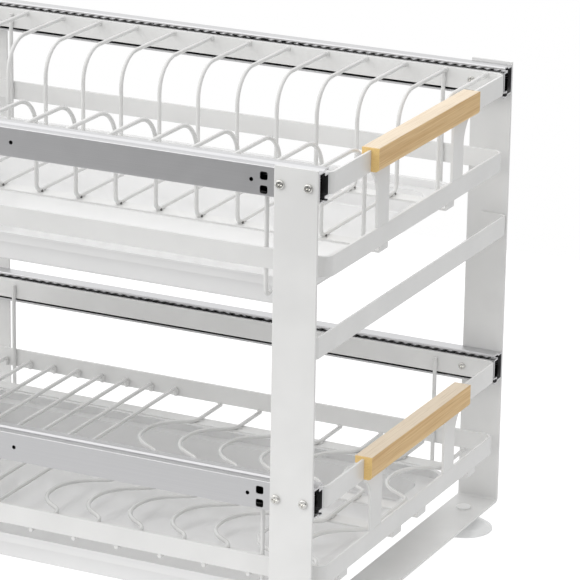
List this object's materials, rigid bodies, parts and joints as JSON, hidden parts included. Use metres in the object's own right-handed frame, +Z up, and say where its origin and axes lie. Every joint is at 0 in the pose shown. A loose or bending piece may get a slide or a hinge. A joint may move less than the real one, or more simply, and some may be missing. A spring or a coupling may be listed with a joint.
{
  "type": "pull-out dish rack",
  "caption": "Two-tier kitchen cabinet dish rack: a flat-bar steel frame with wire drawers on ball-bearing slides, wooden handles, drip trays and suction feet.",
  "frame": {"origin": "on the floor, under the middle of the object's bounding box", "axes": "+X out of the cabinet, the way the drawers pull; +Y to the left side; +Z up"},
  "size_m": [0.618, 0.435, 0.4685],
  "materials": {
    "white_steel": "smooth semi-gloss white powder coat on flat steel",
    "white_wire": "semi-gloss white powder coat on round steel wire",
    "zinc_slide": "bright zinc-plated cold-rolled steel",
    "cage_steel": "greased pressed steel",
    "chrome_screws": "bright nickel-plated steel",
    "bamboo": "laminated bamboo with a clear satin lacquer",
    "white_gloss_plastic": "glossy moulded plastic",
    "white_plastic": "glossy moulded plastic",
    "clear_soft_plastic": "soft translucent moulded plastic"
  },
  "bodies": {
    "frame": {"front_frame": "white_steel", "rear_frame": "white_steel", "front_crossbar": "white_steel", "rear_crossbar": "white_steel", "rail_screws": "chrome_screws", "cup_plugs": "white_plastic", "front_left_suction_cup": "clear_soft_plastic", "front_right_suction_cup": "clear_soft_plastic", "rear_left_suction_cup": "clear_soft_plastic", "rear_right_suction_cup": "clear_soft_plastic", "upper_left_outer_rail": "zinc_slide", "upper_right_outer_rail": "zinc_slide", "lower_left_outer_rail": "zinc_slide", "lower_right_outer_rail": "zinc_slide"},
    "upper_drawer": {"upper_band": "white_steel", "upper_ring": "white_steel", "upper_front_legs": "white_steel", "upper_rear_legs": "white_steel", "upper_posts": "white_wire", "upper_handle": "bamboo", "upper_handle_screws": "chrome_screws", "upper_band_screws": "chrome_screws", "upper_straps": "white_steel", "plate_wires": "white_wire", "upper_left_inner_rail": "zinc_slide", "upper_right_inner_rail": "zinc_slide"},
    "upper_left_cage": {"upper_left_ball_cage": "cage_steel", "upper_left_balls": "chrome_screws"},
    "upper_right_cage": {"upper_right_ball_cage": "cage_steel", "upper_right_balls": "chrome_screws"},
    "upper_tray": {"upper_drip_tray": "white_gloss_plastic"},
    "lower_drawer": {"lower_band": "white_steel", "lower_ring": "white_steel", "lower_front_legs": "white_steel", "lower_rear_legs": "white_steel", "lower_posts": "white_wire", "lower_handle": "bamboo", "lower_handle_screws": "chrome_screws", "lower_band_screws": "chrome_screws", "lower_straps": "white_steel", "straight_rods": "white_wire", "bowl_wires": "white_wire", "lower_left_inner_rail": "zinc_slide", "lower_right_inner_rail": "zinc_slide"},
    "lower_left_cage": {"lower_left_ball_cage": "cage_steel", "lower_left_balls": "chrome_screws"},
    "lower_right_cage": {"lower_right_ball_cage": "cage_steel", "lower_right_balls": "chrome_screws"},
    "lower_tray": {"lower_drip_tray": "white_gloss_plastic"}
  },
  "joints": [
    {"name": "upper_drawer_slide", "type": "slide", "parent": "frame", "child": "upper_drawer", "axis": [1, 0, 0], "range_m": [0, 0.4]},
    {"name": "upper_left_cage_roll", "type": "slide", "parent": "frame", "child": "upper_left_cage", "axis": [1, 0, 0], "range_m": [0, 0.2]},
    {"name": "upper_right_cage_roll", "type": "slide", "parent": "frame", "child": "upper_right_cage", "axis": [1, 0, 0], "range_m": [0, 0.2]},
    {"name": "upper_tray_slide", "type": "slide", "parent": "upper_drawer", "child": "upper_tray", "axis": [1, 0, 0], "range_m": [0, 0.3]},
    {"name": "lower_drawer_slide", "type": "slide", "parent": "frame", "child": "lower_drawer", "axis": [1, 0, 0], "range_m": [0, 0.4]},
    {"name": "lower_left_cage_roll", "type": "slide", "parent": "frame", "child": "lower_left_cage", "axis": [1, 0, 0], "range_m": [0, 0.2]},
    {"name": "lower_right_cage_roll", "type": "slide", "parent": "frame", "child": "lower_right_cage", "axis": [1, 0, 0], "range_m": [0, 0.2]},
    {"name": "lower_tray_slide", "type": "slide", "parent": "lower_drawer", "child": "lower_tray", "axis": [1, 0, 0], "range_m": [0, 0.3]}
  ],
  "couplings": [
    {"joint": "upper_left_cage_roll", "follows": "upper_drawer_slide", "ratio": 0.5},
    {"joint": "upper_right_cage_roll", "follows": "upper_drawer_slide", "ratio": 0.5},
    {"joint": "lower_left_cage_roll", "follows": "lower_drawer_slide", "ratio": 0.5},
    {"joint": "lower_right_cage_roll", "follows": "lower_drawer_slide", "ratio": 0.5}
  ]
}
